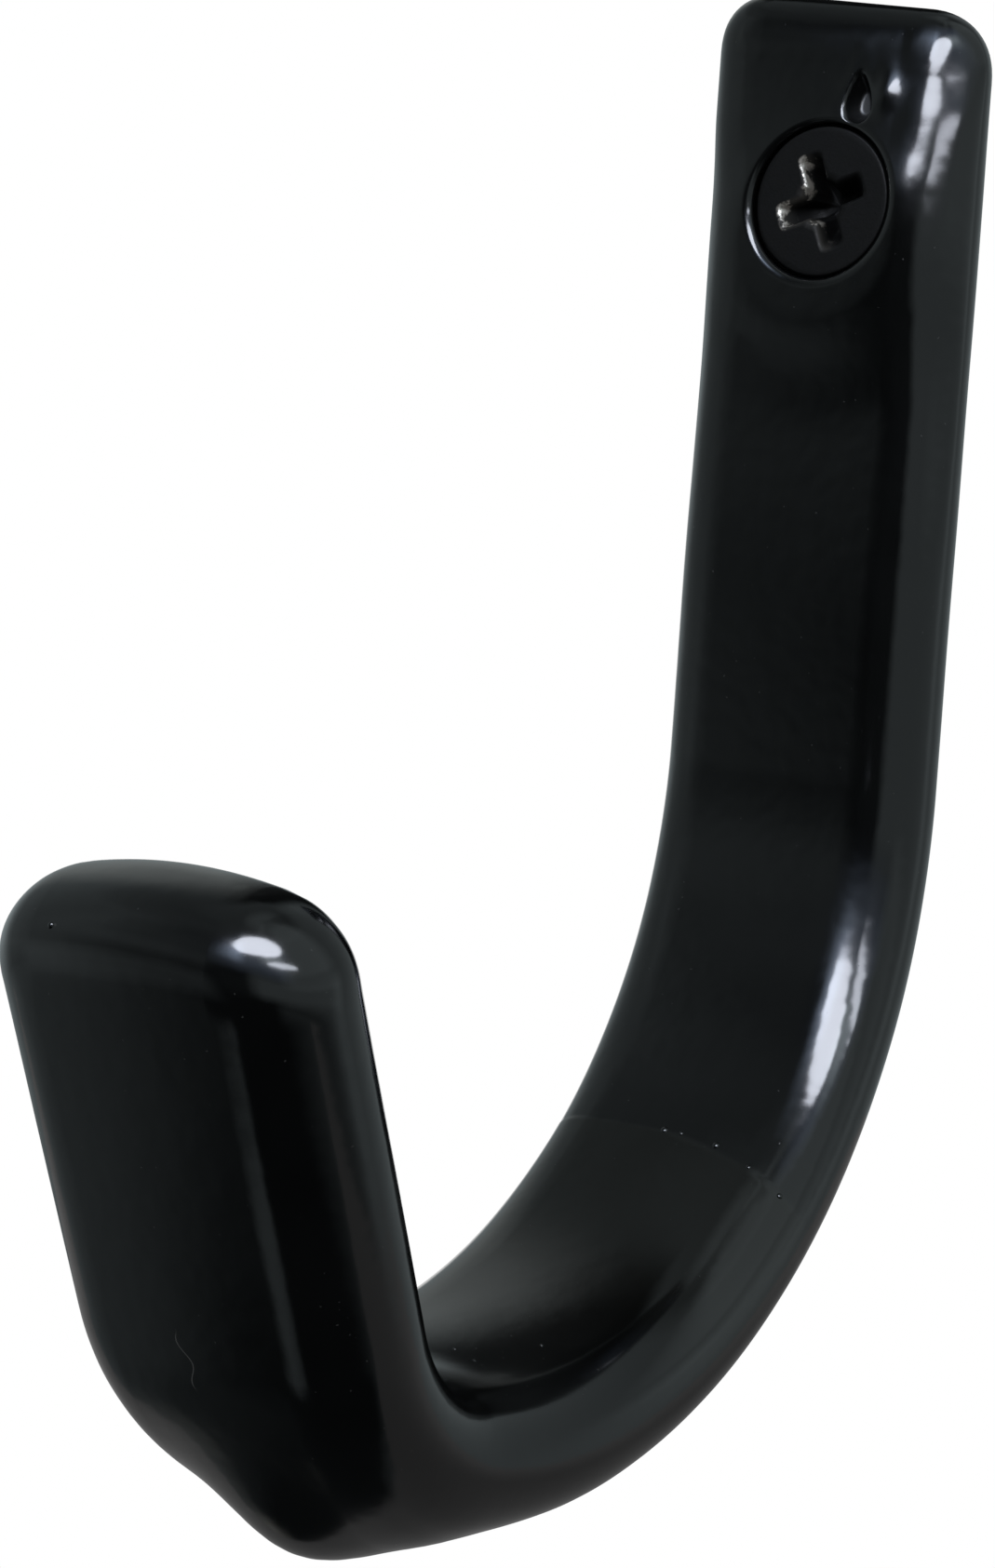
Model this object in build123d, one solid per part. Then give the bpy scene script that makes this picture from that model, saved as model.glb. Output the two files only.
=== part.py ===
from build123d import *
import os
from math import cos, radians, sin, sqrt, tan

os.makedirs("parts", exist_ok=True)

# Wall hook bent as a J from flat bar and dipped in a thick, glossy coat, with
# the countersunk wood screw that holds it. Millimetres. The origin is where
# the screw's axis meets the wall. X runs across the bar, +Y into the wall,
# +Z up, and the hook stands out towards -Y. All sizes are over the coat.

# Bar: the coat ran down as it set, so the bar grows towards the tip
strap_width = 19.0
strap_thickness = 6.9
tip_width = 21.1
tip_thickness = 9.0
edge_land = 0.5             # flat left between the two rounds of a side

# J, along its outer line: strap down the wall, wide bend, tight curl, tip
screw_below_top = 13.1
strap_below_screw = 36.8
bend_radius = 40.5
bend_turn = 100.7           # degrees
curl_radius = 17.5
curl_turn = 58.0            # degrees
tip_length = 25.2
strap_corner_radius = 3.7
tip_corner_radius = 5.9
top_slant = 7.2             # degrees, the end was sheared out of square

# Screw: flat-head wood screw with a cross recess
head_diameter = 9.5
head_angle = 82.0           # degrees
head_edge = 0.35            # height of the upright rim of the head
head_recess = 0.5           # head's top below the face of the strap
neck_diameter = 5.2         # under the head, as far as the wall
shank_diameter = 4.8
core_diameter = 3.4         # core of the threaded part
screw_length = 20.0
shank_length = 3.6          # plain, from the wall on
shank_runout = 0.8
point_length = 4.5
cross_turn = 20.0           # degrees, as the screw was left
cross_span = 6.0
cross_floor_span = 2.6
cross_slot = 1.2
cross_depth = 2.7
cross_heart = 2.7           # diameter of the round middle of the recess

# Hole: countersunk, with a lip rolled in two bevels where the coat ends round the head
neck_clearance = 0.15
head_clearance = 0.3
lip_radius = 0.45

# Wire mark: the pit that the dipping wire left above the hole
pit_side = 2.1
pit_above_screw = 6.4
pit_radius = 0.8
pit_point_radius = 0.4
pit_rise = 1.1
pit_depth = 1.1
pit_taper = 12.0            # degrees

# Drip: the drop of coat that set under the curl
drip_turn = 113.0           # degrees round the J from the strap
drip_side = 1.8
drip_height = 2.5
drip_radius = 4.2           # at half its height
drip_foot_radius = 7.2

overcut = 1.0               # how far a cutter runs past the face it opens

head_radius = head_diameter / 2
neck_radius = neck_diameter / 2
head_top = head_recess - strap_thickness
cone_top = head_top + head_edge
cone_slope = tan(radians(head_angle / 2))


def outer_line():
    """Outer line of the J in the YZ plane, from the strap's foot to the tip's root."""
    start = (0, -strap_below_screw)
    bend = JernArc(start, (0, -1), bend_radius, -bend_turn)
    curl = JernArc(bend @ 1, bend % 1, curl_radius, -curl_turn)
    return Plane.YZ * bend, Plane.YZ * curl


def section_plane(point, direction, across=(1, 0, 0)):
    """Plane square to the bar, with its origin on the outer line."""
    return Plane(origin=point, x_dir=across, z_dir=direction)


def bar_section(width, thickness):
    """Rounded bar section that hangs inwards from the outer line."""
    radius = (thickness - edge_land) / 2
    return Pos(0, thickness / 2) * RectangleRounded(width, thickness, radius)


def bar_end(width, thickness, length, corner_radius, slant):
    """Straight stretch of bar, with its free end at local +Z and rounded all round."""
    rise = tan(radians(slant)) * width / 2
    outline = Polyline(
        (-width / 2, 0),
        (width / 2, 0),
        (width / 2, length + rise),
        (-width / 2, length - rise),
        close=True,
    )
    plate = extrude(Plane.XZ * make_face(outline), amount=-thickness)
    upright = plate.edges().filter_by(Axis.Y)
    plate = fillet(upright.filter_by(lambda edge: edge.center().Z > length / 2), corner_radius)
    outer_loop = plate.faces().sort_by(Axis.Y)[0].edges()
    inner_loop = plate.faces().sort_by(Axis.Y)[-1].edges()
    root_edges = plate.faces().sort_by(Axis.Z)[0].edges()
    rim = [edge for edge in outer_loop + inner_loop if edge not in root_edges]
    return fillet(rim, (thickness - edge_land) / 2)


def bar():
    """The bent bar with its coat, before anything is cut or added."""
    bend, curl = outer_line()
    foot = section_plane(bend @ 0, bend % 0)
    root = section_plane(curl @ 1, curl % 1)
    sections = [
        foot * bar_section(strap_width, strap_thickness),
        root * bar_section(tip_width, tip_thickness),
    ]
    curve = sweep(sections, path=bend + curl, multisection=True)
    strap_frame = section_plane(bend @ 0, (0, 0, 1), across=(-1, 0, 0))
    strap_length = strap_below_screw + screw_below_top
    strap = bar_end(strap_width, strap_thickness, strap_length, strap_corner_radius, top_slant)
    tip = bar_end(tip_width, tip_thickness, tip_length, tip_corner_radius, 0)
    return strap_frame * strap + curve + root * tip


def hole_cutter():
    """Bore, countersink and the open mouth with its rolled lip, round the screw's axis."""
    bore_radius = neck_radius + neck_clearance
    mouth_radius = head_radius + head_clearance
    seat_end = cone_top + (head_radius - bore_radius) / cone_slope
    front = -strap_thickness
    halfway = lip_radius * sin(radians(45))
    side = Polyline(
        (0, overcut),
        (bore_radius, overcut),
        (bore_radius, seat_end),
        (head_radius, cone_top),
        (mouth_radius, cone_top),
        (mouth_radius, front + lip_radius),
        (mouth_radius + lip_radius - halfway, front + lip_radius - halfway),
        (mouth_radius + lip_radius, front),
        (mouth_radius + lip_radius, front - overcut),
        (0, front - overcut),
        close=True,
    )
    return revolve(make_face(side), Axis.Y)


def wire_mark_cutter():
    """Tapered pit with its point upwards."""
    round_end = Pos(pit_side, pit_above_screw) * Circle(pit_radius)
    point_end = Pos(pit_side, pit_above_screw + pit_rise) * Circle(pit_point_radius)
    outline = make_hull(round_end.edges() + point_end.edges())
    face = Plane.XZ.offset(strap_thickness) * outline
    return extrude(face, amount=-pit_depth, taper=pit_taper)


def drip():
    """Bell-shaped drop whose spread foot is sunk into the outside of the curl."""
    foot_depth = curl_radius - sqrt(curl_radius ** 2 - drip_foot_radius ** 2)
    root_depth = foot_depth + drip_height
    flank = Spline(
        (drip_foot_radius, -foot_depth),
        (drip_radius, drip_height / 2),
        (0, drip_height),
        tangents=((-2, 1), (-1, 1), (-1, 0)),
    )
    closing = Polyline(
        (0, drip_height),
        (0, -root_depth),
        (drip_foot_radius, -root_depth),
        (drip_foot_radius, -foot_depth),
    )
    turned = revolve(Plane.XZ * make_face(flank + closing), Axis.Z)
    curl = outer_line()[1]
    along = (drip_turn - bend_turn) / curl_turn
    outward = Vector(0, cos(radians(drip_turn)), -sin(radians(drip_turn)))
    centre = curl @ along + Vector(drip_side, 0, 0)
    return Plane(origin=centre, x_dir=(1, 0, 0), z_dir=outward) * turned


def hook():
    return bar() + drip() - hole_cutter() - wire_mark_cutter()


def cross_recess():
    """Cross recess: two tapering slots and a round middle."""
    slot_side = Polyline(
        (-cross_span / 2, 0),
        (cross_span / 2, 0),
        (cross_floor_span / 2, cross_depth),
        (-cross_floor_span / 2, cross_depth),
        close=True,
    )
    slot = extrude(make_face(slot_side), amount=cross_slot / 2, both=True)
    heart_side = Polyline(
        (0, 0),
        (cross_heart / 2, 0),
        (cross_slot / 2, cross_depth),
        (0, cross_depth),
        close=True,
    )
    heart = revolve(make_face(heart_side), Axis.Y)
    cross = slot + Rot(0, 90, 0) * slot + heart
    return Pos(0, head_top, 0) * Rot(0, -cross_turn, 0) * cross


def screw():
    screw_end = head_top + screw_length
    cone_end = cone_top + (head_radius - neck_radius) / cone_slope
    shank_radius = shank_diameter / 2
    core_radius = core_diameter / 2
    side = Polyline(
        (0, head_top),
        (head_radius, head_top),
        (head_radius, cone_top),
        (neck_radius, cone_end),
        (neck_radius, 0),
        (shank_radius, 0),
        (shank_radius, shank_length),
        (core_radius, shank_length + shank_runout),
        (core_radius, screw_end - point_length),
        (0, screw_end),
        close=True,
    )
    return revolve(make_face(side), Axis.Y) - cross_recess()


export_step(hook(), "parts/hook.step")
export_step(screw(), "parts/screw.step")
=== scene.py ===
from math import asin, atan2, cos, degrees, hypot, pi, radians, sin, tan
import bmesh
import bpy
import numpy as np
from mathutils import Matrix, Vector, noise


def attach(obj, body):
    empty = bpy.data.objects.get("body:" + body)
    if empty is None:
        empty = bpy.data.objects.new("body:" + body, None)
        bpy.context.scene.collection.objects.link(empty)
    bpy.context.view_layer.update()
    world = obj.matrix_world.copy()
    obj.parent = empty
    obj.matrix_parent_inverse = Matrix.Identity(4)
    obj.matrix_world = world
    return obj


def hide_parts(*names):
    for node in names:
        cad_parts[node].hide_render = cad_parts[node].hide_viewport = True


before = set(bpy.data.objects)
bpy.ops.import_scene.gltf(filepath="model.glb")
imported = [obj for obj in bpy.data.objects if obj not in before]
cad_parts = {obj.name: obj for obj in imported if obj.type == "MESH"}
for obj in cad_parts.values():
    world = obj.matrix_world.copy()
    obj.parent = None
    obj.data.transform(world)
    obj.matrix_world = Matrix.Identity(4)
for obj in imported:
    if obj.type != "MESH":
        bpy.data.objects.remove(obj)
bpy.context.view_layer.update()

mm = 0.001
nearly = 1e-6                  # slack when two places are compared

# Sizes are in mm. The origin is where the screw's axis meets the wall: x runs
# across the bar, +y into the wall, +z up. "along" is the way down the outer
# line of the J from its top end, "turn" is how far the J has bent there.


def smooth(low, high, value):
    part = np.clip((value - low) / (high - low), 0, 1)
    return part * part * (3 - 2 * part)


def hump(distance, halfWidth):
    # bell that is 1 in the middle and one half at halfWidth
    return np.exp(-np.log(2) * (distance / halfWidth) ** 2)


bar = {
    "strapWidth": 19.2,
    "strapThickness": 6.9,
    "tipWidth": 21.1,
    "tipThickness": 9.0,
    "softness": 2.35,          # 2 is a true round, more keeps the edge fuller and its ends softer
    "strapRound": 4.2,         # how far the round of a side reaches over the face
    "tipRound": 4.5,
    "aboveScrew": 13.1,
    "belowScrew": 36.8,
    "bendRadius": 40.5,
    "bendTurn": radians(100.7),
    "curlRadius": 17.5,
    "curlTurn": radians(58.0),
    "tipLength": 25.2,
    "strapCorner": 4.25,
    "tipCorner": 4.75,
    "endArch": 1.3,            # how much the tip's end bulges in its middle
    "archHalf": 10.0,          # how far from the middle the bulge is all gone
    "archFade": 12.0,          # how far below the end it still shows
    "slant": radians(7.2),     # the top end was sheared out of square
    "slantFade": (5.0, 12.0),  # where rows turn back to square, along the bar
}
bar["strapEnd"] = bar["aboveScrew"] + bar["belowScrew"]
bar["bendEnd"] = bar["strapEnd"] + bar["bendRadius"] * bar["bendTurn"]
bar["curlEnd"] = bar["bendEnd"] + bar["curlRadius"] * bar["curlTurn"]
bar["length"] = bar["curlEnd"] + bar["tipLength"]


def outerLine(along):
    # y, z and turn of the bar's outer line
    strapPart = np.clip(along, 0, bar["strapEnd"])
    bendTurn = np.clip(along - bar["strapEnd"], 0, bar["bendEnd"] - bar["strapEnd"]) / bar["bendRadius"]
    curlTurn = np.clip(along - bar["bendEnd"], 0, bar["curlEnd"] - bar["bendEnd"]) / bar["curlRadius"]
    tipPart = np.clip(along - bar["curlEnd"], 0, None)
    turn = bendTurn + curlTurn
    y = bar["bendRadius"] * (np.cos(bendTurn) - 1)
    y = y + bar["curlRadius"] * (np.cos(turn) - np.cos(bendTurn)) - tipPart * np.sin(turn)
    z = bar["aboveScrew"] - strapPart - bar["bendRadius"] * np.sin(bendTurn)
    z = z - bar["curlRadius"] * (np.sin(turn) - np.sin(bendTurn)) - tipPart * np.cos(turn)
    return y, z, turn


def barSize(along):
    # width and thickness, which grow together from the strap to the tip
    share = np.clip((along - bar["strapEnd"]) / (bar["curlEnd"] - bar["strapEnd"]), 0, 1)
    width = bar["strapWidth"] + (bar["tipWidth"] - bar["strapWidth"]) * share
    thickness = bar["strapThickness"] + (bar["tipThickness"] - bar["strapThickness"]) * share
    return width, thickness


def roundOff(share):
    # the soft round: how much is left of it, from 1 at its start to 0 where it ends
    power = bar["softness"]
    return (1 - np.clip(share, 0, 1) ** power) ** (1 / power)


def sideRound(along):
    share = (barSize(along)[0] - bar["strapWidth"]) / (bar["tipWidth"] - bar["strapWidth"])
    return bar["strapRound"] + (bar["tipRound"] - bar["strapRound"]) * share


def endReach(half, inset, fromEnd, corner):
    # how far a row reaches to one side, fromEnd mm below an end with rounded corners
    radius = corner - inset
    return half - inset - radius + radius * float(roundOff((corner - fromEnd) / radius))


coat = {
    "endSteps": 16,            # rows round each end
    "rowStep": 0.62,
    "fineStep": 0.175,
    "finePart": (4.375, 21.8),   # rows round the hole, along the bar
    "lapPart": (79.0, 85.0),
    "lapStep": 0.2,
    "faceColumns": 72,
    "roundSteps": 14,
    "holeMargin": 2,           # steps of the round that the plate round the hole takes in
    "holeRings": 38,
    "boreRings": 12,
    "ringCrowding": 0.9,       # below 1 the rings crowd towards the lip
    "mouthRadius": 4.92,
    "lipRadius": 0.45,
    "lipSteps": 9,
    "wallStep": 0.1,           # between the three rings under the lip
    "ledge": 6.05,             # depth of the ledge under the lip, from the wall
    "seatRadius": 4.75,
    "boreRadius": 2.75,
    "boreRing": 2.0,           # one more ring, halfway down the bore
    "seatAngle": radians(41.0),
    "weldGap": 0.002,
}


def coatRows():
    # places of the rows along the bar, close together where there is fine detail
    n = coat["endSteps"]
    steps = [1 - cos(k / n * pi / 2) ** (2 / bar["softness"]) for k in range(n + 1)]
    rows = [bar["strapRound"] * step for step in steps]
    tipRows = [bar["length"] - bar["tipRound"] * step for step in steps]
    start, end = coat["finePart"]
    rows += list(np.arange(start, end, coat["fineStep"]))
    lapStart, lapEnd = coat["lapPart"]
    rows += list(np.linspace(end, lapStart, int((lapStart - end) / coat["rowStep"]))[:-1])
    rows += list(np.linspace(lapStart, lapEnd, int((lapEnd - lapStart) / coat["lapStep"]))[:-1])
    tipStart = bar["length"] - bar["tipRound"]
    rows += list(np.linspace(lapEnd, tipStart, int((tipStart - lapEnd) / coat["rowStep"]))[:-1])
    return rows + tipRows[::-1]


def faceDepth(x, along):
    # depth of the inner face from the outer line at one place across the bar
    width, thickness = barSize(along)
    reach = sideRound(along)
    return thickness / 2 + thickness / 2 * float(roundOff((abs(x) - (width / 2 - reach)) / reach))


def coatRow(along):
    # one closed row of points: x, place along, depth in from the outer line
    width, thickness = barSize(along)
    fromTip = bar["length"] - along
    fromEnd = min(along, fromTip)
    corner = bar["strapCorner"] if along < fromTip else bar["tipCorner"]
    reach = sideRound(along)
    power = 2 / bar["softness"]
    widest = np.arccos(np.clip(1 - fromEnd / reach, 0, 1) ** (1 / power))
    n = coat["roundSteps"]
    rounds = [widest * k / n for k in range(n + 1)]
    insets = [reach * (1 - max(cos(a), 0) ** power) for a in rounds]
    rises = [thickness / 2 * sin(a) ** power for a in rounds]
    sides = [endReach(width / 2, inset, max(fromEnd, inset), corner) for inset in insets]
    middle = thickness / 2
    across = [1 - 2 * k / coat["faceColumns"] for k in range(coat["faceColumns"] + 1)]
    points = [(sides[n] * f, middle + rises[n]) for f in across]
    points += [(-sides[k], middle + rises[k]) for k in range(n - 1, -1, -1)]
    points += [(-sides[k], middle - rises[k]) for k in range(1, n)]
    points += [(-sides[n] * f, middle - rises[n]) for f in across]
    points += [(sides[k], middle - rises[k]) for k in range(n - 1, -1, -1)]
    points += [(sides[k], middle + rises[k]) for k in range(1, n)]
    fade = 1 - smooth(*bar["slantFade"], along)
    arch = bar["endArch"] * (1 - smooth(0, bar["archFade"], fromTip))
    return [(x, along + x * tan(bar["slant"]) * fade - arch * (x / bar["archHalf"]) ** 2, q)
            for x, q in points]


def toSpace(flat):
    # (x, along, depth) to (x, y, z)
    y, z, turn = outerLine(flat[:, 1])
    # above the top end's middle the slanted end still runs straight up
    z = np.where(flat[:, 1] < 0, bar["aboveScrew"] - flat[:, 1], z)
    y = y - flat[:, 2] * np.cos(turn)
    z = z + flat[:, 2] * np.sin(turn)
    return np.stack([flat[:, 0], y, z], axis=1)


def coatGrid():
    # points (x, along, depth) and faces of the whole coat, with the hole let in
    rows = coatRows()
    points = []
    for along in rows:
        points += coatRow(along)
    count = len(points) // len(rows)
    columns = coat["faceColumns"]
    margin = coat["holeMargin"]
    outerStart = columns + 2 * coat["roundSteps"]
    start, end = coat["finePart"]
    holeRows = [i for i, along in enumerate(rows) if start - nearly <= along <= end + nearly]
    first, last = holeRows[0], holeRows[-1]

    def onPlate(j):
        innerSide = (j + margin) % count < columns + 2 * margin
        return innerSide or outerStart - margin <= j < outerStart + columns + margin

    faces = []
    for i in range(len(rows) - 1):
        for j in range(count):
            if first <= i < last and onPlate(j):
                continue
            k = (j + 1) % count
            faces.append((i * count + j, i * count + k, (i + 1) * count + k, (i + 1) * count + j))

    # border of the plate round the hole, in one order seen from the front
    right, left = -margin, columns + margin
    border = [(first, j) for j in range(right, left)]
    border += [(i, left) for i in range(first, last)]
    border += [(last, j) for j in range(left, right, -1)]
    border += [(i, right) for i in range(last, first, -1)]
    innerLoop = [i * count + j % count for i, j in border]
    outerLoop = [i * count + (outerStart + columns - j) % count for i, j in border]
    total = len(innerLoop)
    centre = bar["aboveScrew"]
    rays = []
    for v in innerLoop:
        x, along, _ = points[v]
        reach = hypot(x, along - centre)
        rays.append((x / reach, (along - centre) / reach, reach))

    def addRing(radiusAt, depthAt):
        ring = []
        for dx, dz, reach in rays:
            radius = radiusAt(reach)
            x, along = dx * radius, centre + dz * radius
            ring.append(len(points))
            points.append((x, along, depthAt(x)))
        return ring

    def frontDepth(x):
        return faceDepth(x, centre)

    def backDepth(x):
        return bar["strapThickness"] - faceDepth(x, centre)

    front = bar["strapThickness"]
    lip, mouth, bore = coat["lipRadius"], coat["mouthRadius"], coat["boreRadius"]
    rings = [innerLoop]
    for j in range(1, coat["holeRings"]):
        share = (j / coat["holeRings"]) ** coat["ringCrowding"]
        rings.append(addRing(lambda reach: reach + (mouth + lip - reach) * share, frontDepth))
    # lip rolled into the mouth, wall, ledge, seat and bore
    profile = [(mouth + lip - lip * sin(a), front - lip * (1 - cos(a)))
               for a in np.linspace(0, pi / 2, coat["lipSteps"])]
    profile += [(mouth, front - lip - k * coat["wallStep"]) for k in (1, 2, 3)]
    profile += [(mouth, coat["ledge"]), (coat["seatRadius"], coat["ledge"])]
    seatEnd = coat["ledge"] - (coat["seatRadius"] - bore) / tan(coat["seatAngle"])
    profile += [(bore, seatEnd), (bore, coat["boreRing"]), (bore, 0.0)]
    for radius, depth in profile:
        rings.append(addRing(lambda reach: radius, lambda x: depth))
    for j in range(1, coat["boreRings"]):
        share = j / coat["boreRings"]
        rings.append(addRing(lambda reach: bore + (reach - bore) * share, backDepth))
    rings.append(outerLoop)
    for near, far in zip(rings, rings[1:]):
        for k in range(total):
            m = (k + 1) % total
            faces.append((near[k], near[m], far[m], far[k]))
    return np.array(points), faces


def weld(points, space, faces):
    # joins points that fell together, and drops what collapsed and the points left without a face
    keys = np.round(space / coat["weldGap"]).astype(np.int64)
    _, keep, where = np.unique(keys, axis=0, return_index=True, return_inverse=True)
    where = where.reshape(-1)
    welded = []
    for face in faces:
        ring = []
        for v in face:
            w = int(where[v])
            if w not in ring:
                ring.append(w)
        if len(ring) > 2:
            welded.append(ring)
    used = np.unique(np.concatenate(welded))
    rank = dict(zip(used.tolist(), range(len(used))))
    welded = [[rank[v] for v in face] for face in welded]
    return points[keep[used]], space[keep[used]], welded


def pointNormals(space, faces):
    quads = np.array([face if len(face) == 4 else face + [face[-1]] for face in faces])
    a, b, c, d = (space[quads[:, k]] for k in range(4))
    faceNormals = np.cross(c - a, d - b)
    # where the last point is doubled the triangle's own normal is taken
    single = quads[:, 2] == quads[:, 3]
    faceNormals[single] = np.cross(b - a, c - a)[single]
    normals = np.zeros_like(space)
    for k in range(4):
        np.add.at(normals, quads[:, k], faceNormals)
    return normals / np.linalg.norm(normals, axis=1)[:, None]


# Soft forms of the coat, as heights over the plain bar
forms = {
    "facing": (0.1, 0.8),      # how squarely a point has to face in or out to carry a form
    "frontFacing": (0.0, 0.6),
    "topPart": 45,             # the forms round the screw end here along the bar
    "holeClear": 4.9,          # nothing changes nearer than this to the screw's axis
    "crown": {"strap": 0.2, "tip": 0.45, "halfWidth": 8.5},
    "drip": {"turn": radians(113.0), "side": 1.1, "height": 2.55, "halfWidth": 4.4},
    "wireMark": {"side": 2.1, "above": 6.5, "halfWidth": 0.85, "halfLength": 1.6, "narrowing": 0.45,
                 "depth": 1.3, "wall": (0.4, 1.15), "dull": (0.7, 1.25)},
    "rolledEdge": {"height": 0.02, "at": 1.6, "halfWidth": 0.5},
    "mound": {"side": 4.0, "above": 6.9, "height": 0.26, "halfWidth": 0.75, "stretch": 1.4},
    "swell": {"below": 2.0, "rim": 0.16, "rimStart": (-0.1, 0.7), "rimFade": (5.5, 9.0),
              "fall": 0.5, "fallOver": (5.0, 13.0), "leftShare": 0.55, "leftTo": (-7.0, 3.0),
              "back": (8.0, 26.0), "above": 6.0},
    # the strap thins towards its top, most of all at the right edge
    "topFall": {"from": 0.5, "to": 9.7, "left": -10.3, "right": 4.7, "wide": 0.93,
                "edge": 1.46, "edgeFrom": 7.0, "edgeTo": 9.6, "edgePower": 1.76},
    # the line where the second dip ended runs down the bar towards the right
    "lap": {"along": 80.3, "run": 3.0, "left": -1.3, "width": 10.7, "limit": 1.2, "power": 1.5,
            "height": 0.05, "step": 0.12, "heightFade": (3, 14), "blend": 0.15, "toneFade": (8, 24)},
    "sag": {"size": 0.05, "scale": 0.09, "lower": 0.6},   # slow wander of the coat's thickness
}


def dripHeight(x, along):
    d = forms["drip"]
    centre = bar["bendEnd"] + (d["turn"] - bar["bendTurn"]) * bar["curlRadius"]
    distance = np.hypot(x - d["side"], along - centre)
    return d["height"] * hump(distance, d["halfWidth"])


def pitReach(x, up):
    # 1 on the outline of a drop with its point upwards
    d = forms["wireMark"]
    v = (up - d["above"]) / d["halfLength"]
    narrowing = 1 - d["narrowing"] * np.clip(v, -1, 1)
    return np.hypot((x - d["side"]) / (d["halfWidth"] * narrowing), v)


def pitShare(x, up):
    return 1 - smooth(*forms["wireMark"]["dull"], pitReach(x, up))


def wireMarkDepth(x, up):
    # the pit, the rolled edge round it and the mound beside it
    d, e, m = forms["wireMark"], forms["rolledEdge"], forms["mound"]
    r = pitReach(x, up)
    apart = np.hypot(x - m["side"], (up - m["above"]) / m["stretch"])
    raised = e["height"] * hump(r - e["at"], e["halfWidth"]) + m["height"] * hump(apart, m["halfWidth"])
    return raised - d["depth"] * (1 - smooth(*d["wall"], r))


def swellHeight(x, up):
    # the coat swells round the hole, falls away from it and comes back further down
    d = forms["swell"]
    r = np.hypot(x, up + d["below"])
    leftShare = d["leftShare"] + (1 - d["leftShare"]) * smooth(*d["leftTo"], x)
    fallen = d["fall"] * smooth(*d["fallOver"], r) * leftShare
    start, full = (coat["mouthRadius"] + beyond for beyond in d["rimStart"])
    swollen = d["rim"] * (1 - smooth(*d["rimFade"], r)) * smooth(start, full, np.hypot(x, up))
    return (swollen - fallen) * (1 - smooth(*d["back"], -up)) * (1 - smooth(0, d["above"], up))


def thinned(flat):
    # the front half of the strap comes back towards the wall near its top
    x, along, depth = flat.T
    d = forms["topFall"]
    up = bar["aboveScrew"] - along
    edge = np.clip((x - d["edgeFrom"]) / (d["edgeTo"] - d["edgeFrom"]), 0, 1)
    fall = d["wide"] * np.clip((x - d["left"]) / (d["right"] - d["left"]), 0, 1)
    fall = fall + d["edge"] * edge ** d["edgePower"]
    fall = fall * smooth(d["from"], d["to"], up)
    middle = bar["strapThickness"] / 2
    front = np.clip(depth - middle, 0, None)
    return np.stack([x, along, depth - front * fall / middle], axis=1)


def pastLap(x, along):
    # how far a point lies past the line where the second dip ended
    d = forms["lap"]
    return along - d["along"] - d["run"] * np.clip((x - d["left"]) / d["width"], 0, d["limit"]) ** d["power"]


def lapShare(x, along):
    d = forms["lap"]
    past = pastLap(x, along)
    return smooth(-d["blend"], d["blend"], past) * (1 - smooth(*d["toneFade"], past))


def lapHeight(x, along):
    d = forms["lap"]
    past = pastLap(x, along)
    return d["height"] * smooth(-d["step"], d["step"], past) * (1 - smooth(*d["heightFade"], past))


def coatRelief(flat, space, normals):
    x, along, depth = flat.T
    turn = outerLine(along)[2]
    up = bar["aboveScrew"] - along
    outward = normals[:, 1] * np.cos(turn) - normals[:, 2] * np.sin(turn)
    outer = smooth(*forms["facing"], outward)
    inner = smooth(*forms["facing"], -outward)
    front = smooth(*forms["frontFacing"], -outward)
    clear = np.hypot(x, up) > forms["holeClear"]
    onTop = (along < forms["topPart"]) * (depth > bar["strapThickness"] / 2) * clear
    c = forms["crown"]
    crown = c["strap"] + (c["tip"] - c["strap"]) * smooth(bar["strapEnd"], bar["curlEnd"], along)
    relief = outer * dripHeight(x, along)
    relief = relief - np.abs(outward) * crown * np.clip(np.abs(x) / c["halfWidth"], 0, 1) ** 2
    relief = relief + onTop * inner * wireMarkDepth(x, up)
    relief = relief + onTop * front * swellHeight(x, up)
    relief = relief + inner * lapHeight(x, along)
    d = forms["sag"]
    wander = np.array([noise.noise(Vector(p) * d["scale"]) for p in space])
    return relief + d["size"] * (wander - d["lower"]) * clear


def makeMesh(name, space, faces):
    mesh = bpy.data.meshes.new(name)
    mesh.from_pydata([tuple(p * mm) for p in space], [], [tuple(f) for f in faces])
    shape = bmesh.new()
    shape.from_mesh(mesh)
    bmesh.ops.recalc_face_normals(shape, faces=shape.faces)
    shape.to_mesh(mesh)
    shape.free()
    mesh.polygons.foreach_set("use_smooth", [True] * len(mesh.polygons))
    piece = bpy.data.objects.new(name, mesh)
    bpy.context.scene.collection.objects.link(piece)
    return piece


def addValues(piece, name, values):
    layer = piece.data.attributes.new(name, "FLOAT", "POINT")
    layer.data.foreach_set("value", np.asarray(values, dtype=np.float32))


specks = {
    # bubbles along the lap, then dust caught in the coat: x, along, radius, on the outer side
    "places": [
        (-0.5, 80.15, 0.27, False), (0.8, 80.2, 0.16, False), (3.5, 80.7, 0.26, False),
        (6.5, 81.9, 0.18, False), (8.7, 83.2, 0.2, False), (0.8, 111.7, 0.13, False),
        (2.9, 113.0, 0.12, False), (4.1, 106.8, 0.13, False), (-4.3, 162.4, 0.2, True),
    ],
    "rise": 0.75,              # height of a speck as a share of its radius
    "sunk": 0.25,              # how deep it sits in the coat, likewise
    "around": 14,
    "rings": 5,
}


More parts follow.
